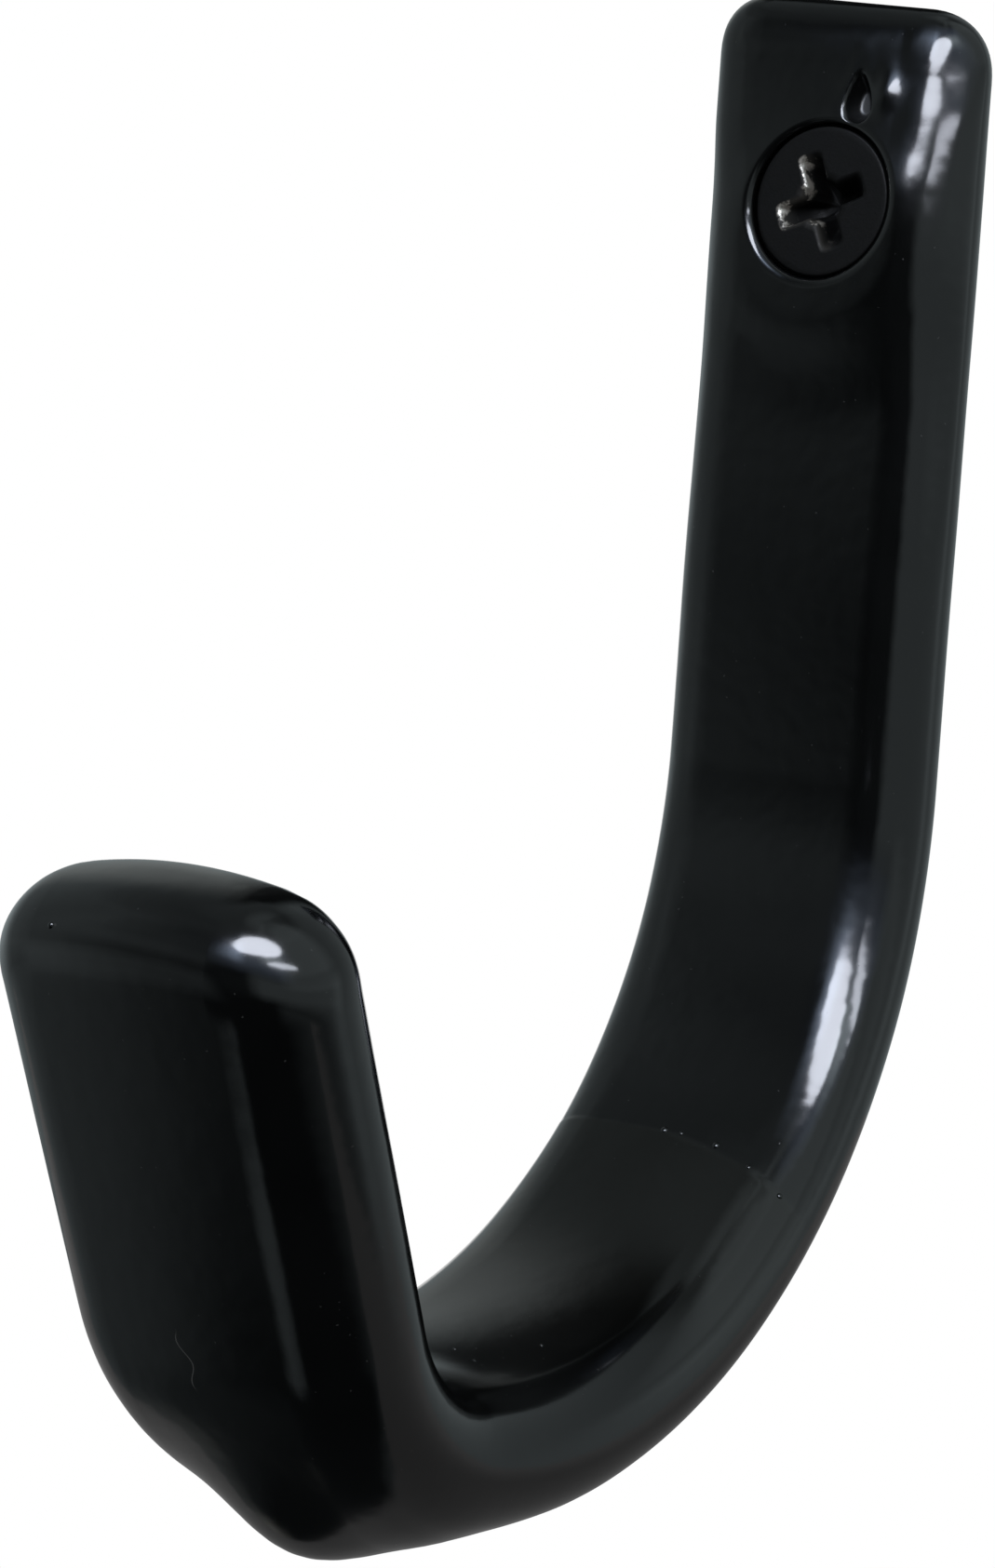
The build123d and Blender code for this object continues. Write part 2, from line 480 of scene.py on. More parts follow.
def buildSpecks(flat, space, normals):
    # small domes that sit on the coat, each sunk a little into it
    points, faces, values = [], [], []
    n = specks["around"]
    outerSide = flat[:, 2] < barSize(flat[:, 1])[1] / 2
    for x, along, radius, onOuter in specks["places"]:
        apart = np.hypot(flat[:, 0] - x, flat[:, 1] - along)
        seat = int(np.argmin(np.where(outerSide == onOuter, apart, np.inf)))
        out = Vector(normals[seat])
        side = out.orthogonal().normalized()
        other = out.cross(side)
        start = len(points)
        for k in range(specks["rings"]):
            t = pi / 2 * k / specks["rings"]
            for j in range(n):
                a = 2 * pi * j / n
                flatPart = (side * cos(a) + other * sin(a)) * radius * cos(t)
                rise = out * radius * (specks["rise"] * sin(t) - specks["sunk"])
                points.append(Vector(space[seat]) + flatPart + rise)
        points.append(Vector(space[seat]) + out * radius * (specks["rise"] - specks["sunk"]))
        top = len(points) - 1
        for k in range(specks["rings"] - 1):
            for j in range(n):
                m = (j + 1) % n
                row, above = start + k * n, start + (k + 1) * n
                faces.append((row + j, row + m, above + m, above + j))
        last = start + (specks["rings"] - 1) * n
        faces += [(last + j, last + (j + 1) % n, top) for j in range(n)]
        faces.append(tuple(start + j for j in range(n))[::-1])
        values += [(x, along)] * (len(points) - start)
    piece = makeMesh("coat_specks", np.array([tuple(p) for p in points]), faces)
    addValues(piece, "across", [v[0] for v in values])
    addValues(piece, "along", [v[1] for v in values])
    return piece


def buildCoat():
    flat, faces = coatGrid()
    flat = thinned(flat)
    space = toSpace(flat)
    flat, space, faces = weld(flat, space, faces)
    normals = pointNormals(space, faces)
    # the normals are turned outwards if the rows happen to run the other way
    if (normals[:, 0] * space[:, 0]).sum() < 0:
        normals = -normals
    space = space + normals * coatRelief(flat, space, normals)[:, None]
    piece = makeMesh("hook_coat", space, faces)
    addValues(piece, "across", flat[:, 0])
    addValues(piece, "along", flat[:, 1])
    outerSide = flat[:, 2] < barSize(flat[:, 1])[1] / 2
    addValues(piece, "outerSide", outerSide)
    addValues(piece, "pit", pitShare(flat[:, 0], bar["aboveScrew"] - flat[:, 1]) * ~outerSide)
    addValues(piece, "lap", lapShare(flat[:, 0], flat[:, 1]) * ~outerSide)
    return piece, buildSpecks(flat, space, normals)


hookCoat, coatSpecks = buildCoat()
print("coat", len(hookCoat.data.polygons), "faces, specks", len(coatSpecks.data.polygons), "faces")
for piece in (hookCoat, coatSpecks):
    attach(piece, "root")
    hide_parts("hook")


def newMaterial(name):
    material = bpy.data.materials.new(name)
    material.use_nodes = True
    material.node_tree.nodes.clear()
    return material, material.node_tree


def addNode(tree, kind, **values):
    made = tree.nodes.new(kind)
    for name, value in values.items():
        setattr(made, name, value)
    return made


def calc(tree, operation, *values, clamp=False):
    made = addNode(tree, "ShaderNodeMath", operation=operation, use_clamp=clamp)
    for k, value in enumerate(values):
        if isinstance(value, (int, float)):
            made.inputs[k].default_value = value
        else:
            tree.links.new(value, made.inputs[k])
    return made.outputs[0]


def readValue(tree, name):
    return addNode(tree, "ShaderNodeAttribute", attribute_name=name).outputs["Fac"]


def noiseField(tree, scale, detail=2.0, rough=0.5):
    # soft random field from 0 to 1 over the piece, with features of about 1 / scale
    place = addNode(tree, "ShaderNodeTexCoord").outputs["Object"]
    field = addNode(tree, "ShaderNodeTexNoise")
    field.inputs["Scale"].default_value = scale
    field.inputs["Detail"].default_value = detail
    field.inputs["Roughness"].default_value = rough
    tree.links.new(place, field.inputs["Vector"])
    return field.outputs["Fac"]


def spread(tree, value, fromLow, fromHigh, toLow, toHigh):
    made = addNode(tree, "ShaderNodeMapRange", clamp=True)
    limits = {"From Min": fromLow, "From Max": fromHigh, "To Min": toLow, "To Max": toHigh}
    for name, number in limits.items():
        made.inputs[name].default_value = number
    tree.links.new(value, made.inputs["Value"])
    return made.outputs[0]


def product(tree, first, *others):
    for other in others:
        first = calc(tree, "MULTIPLY", first, other)
    return first


def blendColours(tree, share, first, second):
    # sockets 6 and 7 take the colours, and 2 gives their blend
    made = addNode(tree, "ShaderNodeMix", data_type="RGBA")
    tree.links.new(share, made.inputs["Factor"])
    for slot, colour in ((6, first), (7, second)):
        if isinstance(colour, tuple):
            made.inputs[slot].default_value = (*colour, 1)
        else:
            tree.links.new(colour, made.inputs[slot])
    return made.outputs[2]


def bumpFrom(tree, height, distance, under=None, strength=None):
    made = addNode(tree, "ShaderNodeBump")
    made.inputs["Distance"].default_value = distance
    tree.links.new(height, made.inputs["Height"])
    if strength:
        tree.links.new(strength, made.inputs["Strength"])
    if under:
        tree.links.new(under, made.inputs["Normal"])
    return made.outputs[0]


gloss = {
    "deep": (0.0013, 0.0014, 0.0015),
    "thin": (0.0024, 0.0026, 0.0027),   # where the coat is a little thinner
    "thinFrom": (0.35, 0.7),   # of the field of clouds
    "lapped": (0.0052, 0.0054, 0.0044),   # the second dip's greener tone below the lap
    "lappedShare": 0.8,
    "dust": (0.045, 0.047, 0.046),
    "dustScale": 3600,
    "dustFrom": (0.77, 0.83),  # only the peaks of that field are dust
    "dustShare": 0.5,
    "worn": (0.06, 0.06, 0.058),
    "ior": 1.5,
    "cloudScale": 95,          # slow changes of tone and roughness, per metre
    "cloudSpan": (0.3, 0.7),
    "roughness": (0.105, 0.15),
    "wornRoughness": 0.35,     # added where the coat is dull
    "dustDull": 0.6,
    "pitDull": 0.7,
    "peelScale": 620,          # gentle orange peel, per metre
    "peelDepth": 0.000022,
    "evenedFrom": (84, 94),    # along the bar: the coat ran smoother in the bend
    "evenedTo": (118, 130),
    "evenedPeel": (0.3, 0.7),  # shares of the orange peel left there and past it
    "grainScale": 5200,
    "grainDepth": 0.0000011,
    "scratch": {"from": (-0.7, 140.3), "to": (-0.1, 136.6), "halfWidth": 0.055, "endFade": 0.5,
                "swing": 0.3, "pace": 2.4},
    "scuff": {"across": 7.4, "along": 110.6, "halfWidth": 1.1, "halfLength": 2.4,
              "grainScale": 1900, "broken": 1.6, "edge": (0.55, 0.95)},
}


def scratchMask(tree, across, along):
    # 1 on the thin, slightly winding line from one end of the scratch to the other
    d = gloss["scratch"]
    (x0, s0), (x1, s1) = d["from"], d["to"]
    length = hypot(x1 - x0, s1 - s0)
    ux, us = (x1 - x0) / length, (s1 - s0) / length
    dx = calc(tree, "ADD", across, -x0)
    ds = calc(tree, "ADD", along, -s0)
    forward = calc(tree, "MULTIPLY_ADD", dx, ux, product(tree, ds, us))
    aside = calc(tree, "MULTIPLY_ADD", dx, -us, product(tree, ds, ux))
    winding = calc(tree, "SINE", product(tree, forward, d["pace"]))
    aside = calc(tree, "MULTIPLY_ADD", winding, d["swing"], aside)
    near = spread(tree, calc(tree, "ABSOLUTE", aside), 0, d["halfWidth"], 1, 0)
    past = calc(tree, "ABSOLUTE", calc(tree, "ADD", forward, -length / 2))
    return product(tree, near, spread(tree, past, length / 2 - d["endFade"], length / 2, 1, 0))


def scuffMask(tree, across, along):
    # a small patch with a ragged edge
    d = gloss["scuff"]
    dx = calc(tree, "MULTIPLY_ADD", across, 1 / d["halfWidth"], -d["across"] / d["halfWidth"])
    ds = calc(tree, "MULTIPLY_ADD", along, 1 / d["halfLength"], -d["along"] / d["halfLength"])
    apart = calc(tree, "SQRT", calc(tree, "MULTIPLY_ADD", dx, dx, product(tree, ds, ds)))
    grain = noiseField(tree, d["grainScale"], detail=4, rough=0.7)
    broken = calc(tree, "MULTIPLY_ADD", grain, d["broken"], -d["broken"] / 2)
    return spread(tree, calc(tree, "ADD", apart, broken), *d["edge"], 1, 0)


def coatMaterial():
    material, tree = newMaterial("dipped_coat")
    shader = addNode(tree, "ShaderNodeBsdfPrincipled")
    shader.inputs["IOR"].default_value = gloss["ior"]
    across, along, outerSide, lap, pit = (readValue(tree, name) for name in
                                          ("across", "along", "outerSide", "lap", "pit"))
    clouds = noiseField(tree, gloss["cloudScale"], detail=3)
    dust = spread(tree, noiseField(tree, gloss["dustScale"], detail=1), *gloss["dustFrom"], 0, 1)
    marks = calc(tree, "MAXIMUM", scratchMask(tree, across, along), scuffMask(tree, across, along))
    marks = product(tree, marks, outerSide)
    thin = spread(tree, clouds, *gloss["thinFrom"], 0, 1)
    colour = blendColours(tree, thin, gloss["deep"], gloss["thin"])
    colour = blendColours(tree, product(tree, dust, gloss["dustShare"]), colour, gloss["dust"])
    colour = blendColours(tree, product(tree, lap, gloss["lappedShare"]), colour, gloss["lapped"])
    colour = blendColours(tree, marks, colour, gloss["worn"])
    tree.links.new(colour, shader.inputs["Base Color"])
    roughness = spread(tree, clouds, *gloss["cloudSpan"], *gloss["roughness"])
    dull = calc(tree, "MAXIMUM", marks, product(tree, dust, gloss["dustDull"]))
    dull = calc(tree, "MAXIMUM", dull, product(tree, pit, gloss["pitDull"]))
    roughness = calc(tree, "MULTIPLY_ADD", dull, gloss["wornRoughness"], roughness)
    tree.links.new(roughness, shader.inputs["Roughness"])
    within, past = gloss["evenedPeel"]
    evened = calc(tree, "MAXIMUM", spread(tree, along, *gloss["evenedFrom"], 1, within),
                  spread(tree, along, *gloss["evenedTo"], within, past))
    peelField = noiseField(tree, gloss["peelScale"], detail=1)
    peel = bumpFrom(tree, peelField, gloss["peelDepth"], strength=evened)
    grain = bumpFrom(tree, noiseField(tree, gloss["grainScale"]), gloss["grainDepth"], under=peel)
    tree.links.new(grain, shader.inputs["Normal"])
    out = addNode(tree, "ShaderNodeOutputMaterial")
    tree.links.new(shader.outputs[0], out.inputs[0])
    return material


coatFinish = coatMaterial()
for piece in (hookCoat, coatSpecks):
    piece.data.materials.append(coatFinish)
print("coat finish")


# Wood screw: flat head with a cross recess, plain shank and thread.
# Places along it are in mm from the wall, negative towards the front.
screw = {
    "headRadius": 4.75,
    "headTop": -6.4,
    "rimEdge": 0.12,           # rounded edge of the head
    "coneTop": -6.05,
    "neckRadius": 2.6,
    "neckStart": -3.577,
    "shankRadius": 2.4,
    "coneSteps": 6,
    "neckPlaces": (-1.8, -0.1),
    "shankPlaces": (0.1, 1.7),
    "threadStart": 3.4,
    "runOut": 1.1,             # from the plain shank down to the core
    "coreRadius": 1.7,
    "threadRadius": 2.4,
    "pitch": 2.1,
    "ridge": 0.24,             # half the foot of the thread's ridge, as a share of the pitch
    "ridgeCrest": 1.15,        # above 1 the ridge has a flat crest
    "ridgeFade": 0.3,          # share of the taper over which the ridge runs out
    "corePower": 0.8,          # below 1 the core bulges on its way to the point
    "taperStart": 9.1,
    "point": 13.59,
    "around": 96,
    "threadStep": 0.09,
}
recess = {
    "turn": radians(20.0),
    "levels": [                # depth, reach of a wing, its half width, radius of the middle
        (0.0, 3.2, 0.90, 1.66),
        (0.07, 3.1, 0.80, 1.56),
        (0.2, 2.99, 0.70, 1.44),
        (0.5, 2.80, 0.63, 1.34),
        (1.2, 2.42, 0.60, 1.20),
        (1.9, 1.95, 0.50, 0.98),
        (2.5, 1.50, 0.40, 0.74),
        (2.65, 1.1, 0.28, 0.5),
    ],
    "squareness": 0.62,        # how square the end of a wing is
    "endLength": 0.625,        # of a wing's rounded end, as a share of its half width
    "sideSteps": 7,
    "endSteps": 12,
    "heartSteps": 6,
    "floorSink": 0.06,         # how much lower the middle of the floor is
    "headRings": 9,
    "rimSteps": 3,
    "bareGlintLip": (-0.05, 0.06),  # depths over which the bare steel and its painted glint start, and where they end
    "bareGlintDepth": (0.25, 0.9),
    # only the walls on the left, which face the lamps, get the steel: a painted glint
    "glintSide": (-0.5, 0.3),
}


def crossOutline(reach, half, heart):
    # closed outline of the cross as angles and radii, wing by wing
    outline = []
    n, m, h = recess["sideSteps"], recess["endSteps"], recess["heartSteps"]
    start = np.sqrt(heart ** 2 - half ** 2)
    end = reach - recess["endLength"] * half
    sideSteps = [start + (end - start) * k / n for k in range(n + 1)]
    cut = asin(half / heart)
    for wing in range(4):
        facing = recess["turn"] + wing * pi / 2
        local = [(u, -half) for u in sideSteps]
        for k in range(1, m):
            t = pi * (k / m - 0.5)
            v = half * np.sign(t) * abs(sin(t)) ** recess["squareness"]
            local.append((end + (reach - end) * cos(t) ** recess["squareness"], v))
        local += [(u, half) for u in sideSteps[::-1]]
        for k in range(1, h):
            t = cut + (pi / 2 - 2 * cut) * k / h
            local.append((heart * cos(t), heart * sin(t)))
        outline += [(facing + atan2(v, u), hypot(u, v)) for u, v in local]
    return outline


def headRows():
    # rings from the middle of the recess out to the edge of the head: (angle, radius, place)
    top = screw["headTop"]
    rings = []
    for depth, reach, half, heart in recess["levels"][::-1]:
        rings.append([(a, r, top + depth) for a, r in crossOutline(reach, half, heart)])
    mouth = crossOutline(*recess["levels"][0][1:])
    edge = screw["headRadius"] - screw["rimEdge"]
    for k in range(1, recess["headRings"] + 1):
        share = k / recess["headRings"]
        rings.append([(a, r + (edge - r) * share, top) for a, r in mouth])
    for k in range(1, recess["rimSteps"] + 1):
        t = pi / 2 * k / recess["rimSteps"]
        radius, place = edge + screw["rimEdge"] * sin(t), top + screw["rimEdge"] * (1 - cos(t))
        rings.append([(a, radius, place) for a, _ in mouth])
    return rings


def threadRadius(place, angle):
    # core with one ridge wound round it, both running out to the point
    d = screw
    taper = np.clip((d["point"] - place) / (d["point"] - d["taperStart"]), 0, 1)
    core = d["coreRadius"] * taper ** d["corePower"]
    turnShare = np.mod(place / d["pitch"] - angle / (2 * pi), 1)
    ridge = np.clip(1 - np.abs(turnShare - 0.5) / d["ridge"], 0, 1)
    height = (d["threadRadius"] - d["coreRadius"]) * smooth(0, d["ridgeFade"], taper)
    shank = d["shankRadius"] * (1 - smooth(d["threadStart"], d["threadStart"] + d["runOut"], place))
    return np.maximum(core + height * np.minimum(ridge * d["ridgeCrest"], 1), shank)


def bodyRows():
    # radius and place of each ring of the rim, the cone, the neck and the plain shank
    d = screw
    n = d["coneSteps"]
    widths = np.linspace(d["headRadius"], d["neckRadius"], n + 1)
    body = list(zip(widths, np.linspace(d["coneTop"], d["neckStart"], n + 1)))
    body += [(d["neckRadius"], place) for place in d["neckPlaces"]]
    return body + [(d["shankRadius"], place) for place in d["shankPlaces"]]


def buildScrew():
    d = screw
    rings = headRows()
    headCount = len(rings)
    mouth = [a for a, _, _ in rings[0]]
    for radius, place in bodyRows():
        rings.append([(a, radius, place) for a in mouth])
    for place in np.arange(d["threadStart"], d["point"], d["threadStep"]):
        rings.append([(a, float(threadRadius(place, a)), place) for a in mouth])
    count = len(mouth)
    points = [(r * cos(a), place, r * sin(a)) for ring in rings for a, r, place in ring]
    faces = []
    for i in range(len(rings) - 1):
        for j in range(count):
            k = (j + 1) % count
            faces.append((i * count + j, i * count + k, (i + 1) * count + k, (i + 1) * count + j))
    floor, tip = len(points), len(points) + 1
    floorPlace = d["headTop"] + recess["levels"][-1][0] + recess["floorSink"]
    points += [(0, floorPlace, 0), (0, d["point"], 0)]
    last = (len(rings) - 1) * count
    for j in range(count):
        k = (j + 1) % count
        faces.append((k, j, floor))
        faces.append((last + j, last + k, tip))
    piece = makeMesh("wood_screw", np.array(points), faces)
    # bare steel near the mouth of the recess, only on the walls on the left, which face the lamps: partly
    # rubbed finish, partly a painted glint
    bareAndGlint = []
    for i, ring in enumerate(rings):
        for a, r, place in ring:
            deep, side = place - d["headTop"], r * cos(a - recess["turn"])
            worn = smooth(*recess["bareGlintLip"], deep) * (1 - smooth(*recess["bareGlintDepth"], deep))
            bareAndGlint.append(worn * (1 - smooth(*recess["glintSide"], side)) * (i < len(recess["levels"])))
    addValues(piece, "bareAndGlint", bareAndGlint + [0, 0])
    print("screw", len(piece.data.polygons), "faces,", headCount, "head rings")
    return piece


woodScrew = buildScrew()
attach(woodScrew, "root")
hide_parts("screw")


blackFinish = {
    "black": (0.0024, 0.0028, 0.003),
    "brown": (0.0034, 0.0031, 0.0026),
    "steel": (0.66, 0.63, 0.57),
    "ior": 1.5,
    "shine": 0.1,
    "cloudScale": 700,
    "rubbedGlintFrom": (0.5, 0.6),  # of the field of clouds
    "rubbedGlintShare": (0.04, 0.9),
    "roughness": (0.48, 0.62),
    "steelRoughness": 0.3,
    "grainScale": 6500,
    "grainSpan": (0.3, 0.7),
    "grainDepth": 0.000012,
}


def screwMaterial():
    f = blackFinish
    material, tree = newMaterial("blackened_screw")
    shader = addNode(tree, "ShaderNodeBsdfPrincipled")
    shader.inputs["IOR"].default_value = f["ior"]
    shader.inputs["Specular IOR Level"].default_value = f["shine"]
    clouds = noiseField(tree, f["cloudScale"], detail=4, rough=0.6)
    grain = noiseField(tree, f["grainScale"], detail=3, rough=0.6)
    # steel on the recess walls near the mouth that face the lamps: partly rubbed finish, partly a painted
    # glint
    rubbedAndGlint = product(tree, readValue(tree, "bareAndGlint"), spread(tree, clouds, *f["rubbedGlintFrom"], *f["rubbedGlintShare"]))
    colour = blendColours(tree, clouds, f["black"], f["brown"])
    colour = blendColours(tree, rubbedAndGlint, colour, f["steel"])
    tree.links.new(colour, shader.inputs["Base Color"])
    tree.links.new(rubbedAndGlint, shader.inputs["Metallic"])
    black = spread(tree, grain, *f["grainSpan"], *f["roughness"])
    duller = calc(tree, "SUBTRACT", black, f["steelRoughness"])
    roughness = calc(tree, "SUBTRACT", black, product(tree, rubbedAndGlint, duller))
    tree.links.new(roughness, shader.inputs["Roughness"])
    tree.links.new(bumpFrom(tree, grain, f["grainDepth"]), shader.inputs["Normal"])
    out = addNode(tree, "ShaderNodeOutputMaterial")
    tree.links.new(shader.outputs[0], out.inputs[0])
    return material


woodScrew.data.materials.append(screwMaterial())
print("screw finish")


# Light: a dim room with a wide and a narrow window, and a white backdrop behind the hook.
# Directions are in degrees: azimuth from the front towards the right, elevation upwards.
room = {
    "windowFrom": Vector((0, -0.025, -0.06)),
    "windowDistance": 0.22,
    "windows": [
        {"azimuth": 21.7, "elevation": 47.4, "long": 43, "high": 20.9, "lean": 13, "level": 17},
        {"azimuth": 51.7, "elevation": 33.1, "long": 32.2, "high": 5.6, "lean": 3, "level": 12},
    ],
    "softLight": {"azimuth": 5, "elevation": 42, "distance": 1.2, "size": 0.9, "level": 0.75},
    "lampColour": (0.93, 0.98, 1.1),
    "evenLevel": 0.5,          # what the room gives to plain surfaces
    "darkest": (0.0125, 0.0155, 0.0165),   # tone of the room between its patches
    "backdrop": (0.94, 0.985),  # cosines between which the backdrop fades in
    "backdropTop": (-1, 4),    # elevations between which it ends upwards
    # the beam lies between two circles round its middle, and each pair of angles is a soft edge
    "beam": {"azimuth": -85, "elevation": 5, "inner": (55.5, 59.5), "outer": (71.667, 78.333),
             "farLeft": (-120, -95), "bottom": (6, 11), "top": (55.333, 62), "dark": 0.95},
    "floor": {"height": -0.3, "left": -0.6, "right": 0.6, "front": -0.02, "back": 1.0,
              "middle": (0, 0.35, -0.3), "fade": (0.15, 0.36), "whiteness": 0.6,
              "grainScale": 30, "grainSpan": (0.3, 0.7), "grain": (0.82, 0.86),
              "shine": (0.2, 0.32), "shineFade": (0.3, 0.65)},   # how bright it is in reflections
}


def direction(azimuth, elevation):
    a, e = radians(azimuth), radians(elevation)
    return Vector((sin(a) * cos(e), -cos(a) * cos(e), sin(e)))


def addLamp(name, azimuth, elevation, distance, sizes, lean, level, shape):
    away = direction(azimuth, elevation)
    lamp = bpy.data.lights.new(name, "AREA")
    lamp.shape = shape
    lamp.size, lamp.size_y = sizes
    area = sizes[0] * sizes[1] * (pi / 4 if shape == "ELLIPSE" else 1)
    lamp.energy = level * pi * area
    lamp.color = room["lampColour"]
    holder = bpy.data.objects.new(name, lamp)
    holder.location = room["windowFrom"] + away * distance
    turn = away.to_track_quat("Z", "Y").to_matrix() @ Matrix.Rotation(radians(lean), 3, "Z")
    holder.rotation_euler = turn.to_euler()
    holder.visible_camera = False
    bpy.context.scene.collection.objects.link(holder)
    return holder


def buildLamps():
    # the windows are only seen in what shines, the soft light only falls on plain surfaces
    reach = room["windowDistance"]
    for k, w in enumerate(room["windows"]):
        sizes = [2 * reach * tan(radians(w[side]) / 2) for side in ("long", "high")]
        lamp = addLamp(f"window_{k + 1}", w["azimuth"], w["elevation"], reach, sizes, w["lean"],
                       w["level"], "ELLIPSE")
        lamp.visible_diffuse = False
    s = room["softLight"]
    lamp = addLamp("soft_light", s["azimuth"], s["elevation"], s["distance"], [s["size"]] * 2, 0,
                   s["level"] * (s["distance"] / s["size"]) ** 2, "RECTANGLE")
    lamp.visible_glossy = False


cool, blue, warm = (0.87, 1.0, 1.03), (0.80, 0.98, 1.30), (1.0, 1.0, 0.93)

# soft patches of the room: left, right, bottom, top, level, softness and tint
roomPatches = [
    (-152, -46, -12, 50, 0.3, 8, cool),
    (-200, 40, 54, 90, 0.2, 8, cool),
    (-146, -114, 15, 48, 0.2, 9, warm),
    (-126, -98, -14, 10, 0.18, 8, cool),
    (-120, -44, -38, -12, 0.24, 10, cool),
    (-64, -20, -26, -6, 0.17, 6, cool),
    (-46, -26, -10, 54, 0.115, 7, cool),
    (-50, -20, 5, 18, 0.1, 5, cool),
    (-62, -10, 12, 34, 0.07, 6, cool),
    (-16, 16, -16, 8, 0.035, 6, cool),
    (20, 140, -13, 14, 0.46, 6, cool),
    (62, 134, 14, 72, 0.70, 11, cool),
    (134, 200, -22, 70, 0.34, 12, cool),
    (-200, -158, -22, 60, 0.34, 9, cool),
    (48, 142, -32, -16, 0.17, 8, cool),
    (98, 200, -74, -30, 0.16, 9, cool),
    (-200, -130, -72, -30, 0.26, 9, cool),
    (-150, -93, -60, -50, 0.3, 5, warm),
    (-42, -22, -53, -44, 0.3, 3, cool),
    (-112, -60, -52, -36, 0.07, 8, cool),
    (-200, 200, 78, 110, 0.32, 6, cool),
    (20, 132, 66, 82, 0.35, 8, cool),
    (-16, 68, 20, 60, 0.75, 9, blue),
    (-12, 6, 30, 46, 4.0, 8, blue),
    (34, 62, 33, 44, 2.6, 6, cool),
]


def vector(tree, operation, *values):
    made = addNode(tree, "ShaderNodeVectorMath", operation=operation)
    for k, value in enumerate(values):
        if isinstance(value, (tuple, Vector)):
            made.inputs[k].default_value = value
        else:
            tree.links.new(value, made.inputs[k])
    return made.outputs["Value" if operation in ("DOT_PRODUCT", "LENGTH") else "Vector"]


def scaled(tree, colour, share):
    made = vector(tree, "SCALE", colour)
    tree.links.new(share, made.node.inputs["Scale"])
    return made


def roomTone(tree, azimuth, elevation):
    total = room["darkest"]
    for left, right, bottom, top, level, soft, tint in roomPatches:
        share = product(tree, spread(tree, azimuth, left - soft, left + soft, 0, 1),
                        spread(tree, azimuth, right - soft, right + soft, 1, 0),
                        spread(tree, elevation, bottom - soft, bottom + soft, 0, 1),
                        spread(tree, elevation, top - soft, top + soft, 1, 0), level)
        total = vector(tree, "ADD", total, scaled(tree, tint, share))
    return total


def beamShare(tree, ray, azimuth, elevation):
    # a dark beam arches over the far left of the room
    b = room["beam"]
    middle = vector(tree, "DOT_PRODUCT", ray, direction(b["azimuth"], b["elevation"]))
    apart = product(tree, calc(tree, "ARCCOSINE", middle), degrees(1))
    return product(tree, spread(tree, apart, *b["inner"], 0, 1), spread(tree, apart, *b["outer"], 1, 0),
                   spread(tree, azimuth, *b["farLeft"], 1, 0), spread(tree, elevation, *b["bottom"], 0, 1),
                   spread(tree, elevation, *b["top"], 1, 0))


def blendVectors(tree, share, first, second):
    # sockets 4 and 5 take the vectors, and 1 gives their blend
    made = addNode(tree, "ShaderNodeMix", data_type="VECTOR")
    tree.links.new(share, made.inputs["Factor"])
    for slot, value in ((4, first), (5, second)):
        if isinstance(value, tuple):
            made.inputs[slot].default_value = value
        else:
            tree.links.new(value, made.inputs[slot])
    return made.outputs[1]


def lookedAt(tree):
    # what is seen in a reflection or through glass, and what the camera sees straight
    rays = addNode(tree, "ShaderNodeLightPath")
    shine = calc(tree, "MAXIMUM", rays.outputs["Is Glossy Ray"], rays.outputs["Is Transmission Ray"])
    return shine, rays.outputs["Is Camera Ray"]


def buildWorld():
    world = bpy.data.worlds.new("room")
    bpy.context.scene.world = world
    world.use_nodes = True
    tree = world.node_tree
    tree.nodes.clear()
    ray = addNode(tree, "ShaderNodeTexCoord").outputs["Generated"]
    axes = addNode(tree, "ShaderNodeSeparateXYZ")
    tree.links.new(ray, axes.inputs[0])
    x, y, z = axes.outputs
    azimuth = product(tree, calc(tree, "ARCTAN2", x, product(tree, y, -1.0)), degrees(1))
    elevation = product(tree, calc(tree, "ARCSINE", z), degrees(1))
    share = beamShare(tree, ray, azimuth, elevation)
    kept = calc(tree, "MULTIPLY_ADD", share, -room["beam"]["dark"], 1.0)
    tone = scaled(tree, roomTone(tree, azimuth, elevation), kept)
    # the white backdrop fills what lies straight behind the hook
    towards = vector(tree, "DOT_PRODUCT", ray, -direction(camera["azimuth"], camera["elevation"]))
    backdrop = product(tree, spread(tree, towards, *room["backdrop"], 0, 1),
                       spread(tree, elevation, *room["backdropTop"], 1, 0))
    shine, straight = lookedAt(tree)
    white = calc(tree, "MAXIMUM", straight, product(tree, shine, backdrop))
    # an even level for the soft light, the room for what shines, white where the backdrop is seen
    seen = blendVectors(tree, shine, (room["evenLevel"],) * 3, tone)
    back = addNode(tree, "ShaderNodeBackground")
    tree.links.new(blendVectors(tree, white, seen, (1, 1, 1)), back.inputs["Color"])
    back.inputs["Strength"].default_value = 1
    out = addNode(tree, "ShaderNodeOutputWorld")
    tree.links.new(back.outputs[0], out.inputs[0])
    world.cycles.sampling_method = "NONE"


camera = {
    "target": Vector((0, -0.04044, -0.03654)),
    "distance": 0.16809,
    "azimuth": 35.92,
    "elevation": 4.29,
    "roll": 3.86,
    "lens": 69.14,
    "sensor": 36,
    "nearest": 0.01,
    "shift": (0.01812, -0.00249),
}


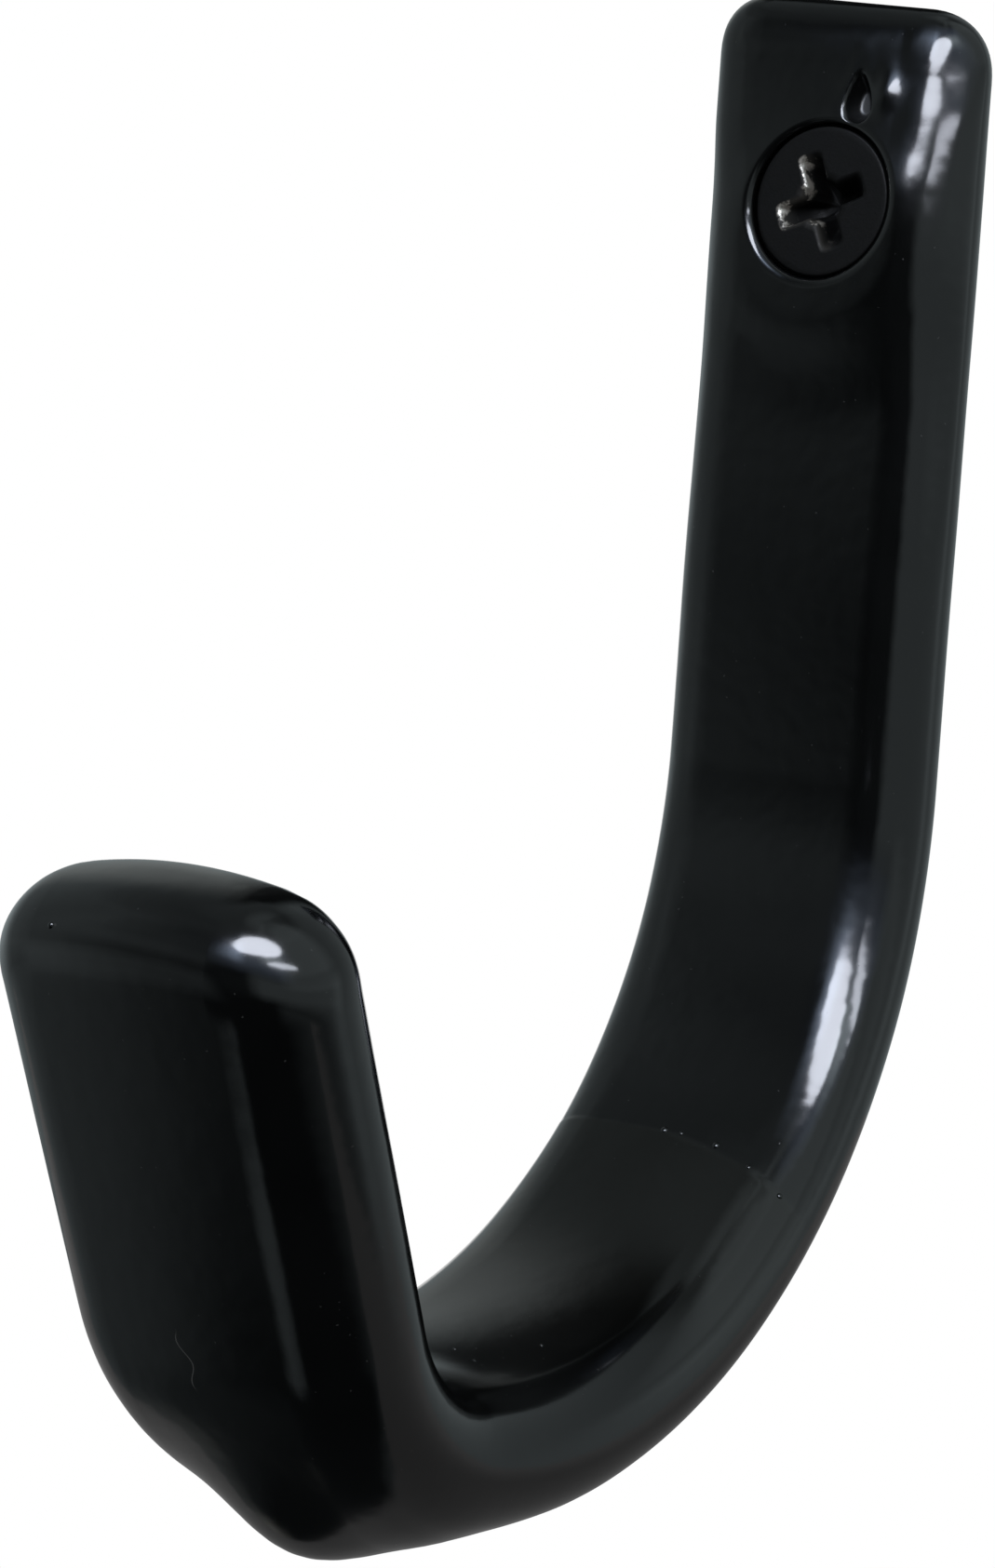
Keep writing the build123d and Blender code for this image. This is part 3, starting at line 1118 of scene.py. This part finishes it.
def buildCamera():
    data = bpy.data.cameras.new("camera")
    data.lens = camera["lens"]
    data.sensor_width = camera["sensor"]
    data.shift_x, data.shift_y = camera["shift"]
    data.clip_start = camera["nearest"]
    away = direction(camera["azimuth"], camera["elevation"])
    eye = bpy.data.objects.new("camera", data)
    eye.location = camera["target"] + away * camera["distance"]
    turn = away.to_track_quat("Z", "Y").to_matrix() @ Matrix.Rotation(radians(camera["roll"]), 3, "Z")
    eye.rotation_euler = turn.to_euler()
    bpy.context.scene.collection.objects.link(eye)
    bpy.context.scene.camera = eye


def floorMaterial():
    # pale and plain, as white as the backdrop when looked at, and dim in reflections like the room
    f = room["floor"]
    material, tree = newMaterial("pale_floor")
    plain = addNode(tree, "ShaderNodeBsdfDiffuse")
    grain = spread(tree, noiseField(tree, f["grainScale"], detail=3), *f["grainSpan"], *f["grain"])
    tint = addNode(tree, "ShaderNodeCombineColor")
    for k in range(3):
        tree.links.new(grain, tint.inputs[k])
    tree.links.new(tint.outputs[0], plain.inputs["Color"])
    white = addNode(tree, "ShaderNodeEmission")
    shine, straight = lookedAt(tree)
    # the floor fades into the backdrop towards its edges
    place = addNode(tree, "ShaderNodeTexCoord").outputs["Object"]
    away = vector(tree, "LENGTH", vector(tree, "SUBTRACT", place, Vector(f["middle"])))
    edge = spread(tree, away, *f["fade"], f["whiteness"], 1)
    dimmer = spread(tree, away, *f["shineFade"], *(level - 1 for level in f["shine"]))
    tree.links.new(calc(tree, "MULTIPLY_ADD", shine, dimmer, 1.0), white.inputs["Strength"])
    seen = calc(tree, "MAXIMUM", product(tree, straight, edge), shine)
    both = addNode(tree, "ShaderNodeMixShader")
    tree.links.new(seen, both.inputs[0])
    tree.links.new(plain.outputs[0], both.inputs[1])
    tree.links.new(white.outputs[0], both.inputs[2])
    out = addNode(tree, "ShaderNodeOutputMaterial")
    tree.links.new(both.outputs[0], out.inputs[0])
    return material


def buildFloor():
    f = room["floor"]
    mesh = bpy.data.meshes.new("floor")
    corners = [(f["left"], f["front"]), (f["right"], f["front"]),
               (f["right"], f["back"]), (f["left"], f["back"])]
    mesh.from_pydata([(x, y, f["height"]) for x, y in corners], [], [(0, 1, 2, 3)])
    floor = bpy.data.objects.new("floor", mesh)
    bpy.context.scene.collection.objects.link(floor)
    mesh.materials.append(floorMaterial())


buildCamera()
print("camera")
buildLamps()
buildWorld()
buildFloor()
print("light and floor")

scene = bpy.context.scene
scene.view_settings.view_transform = "Standard"
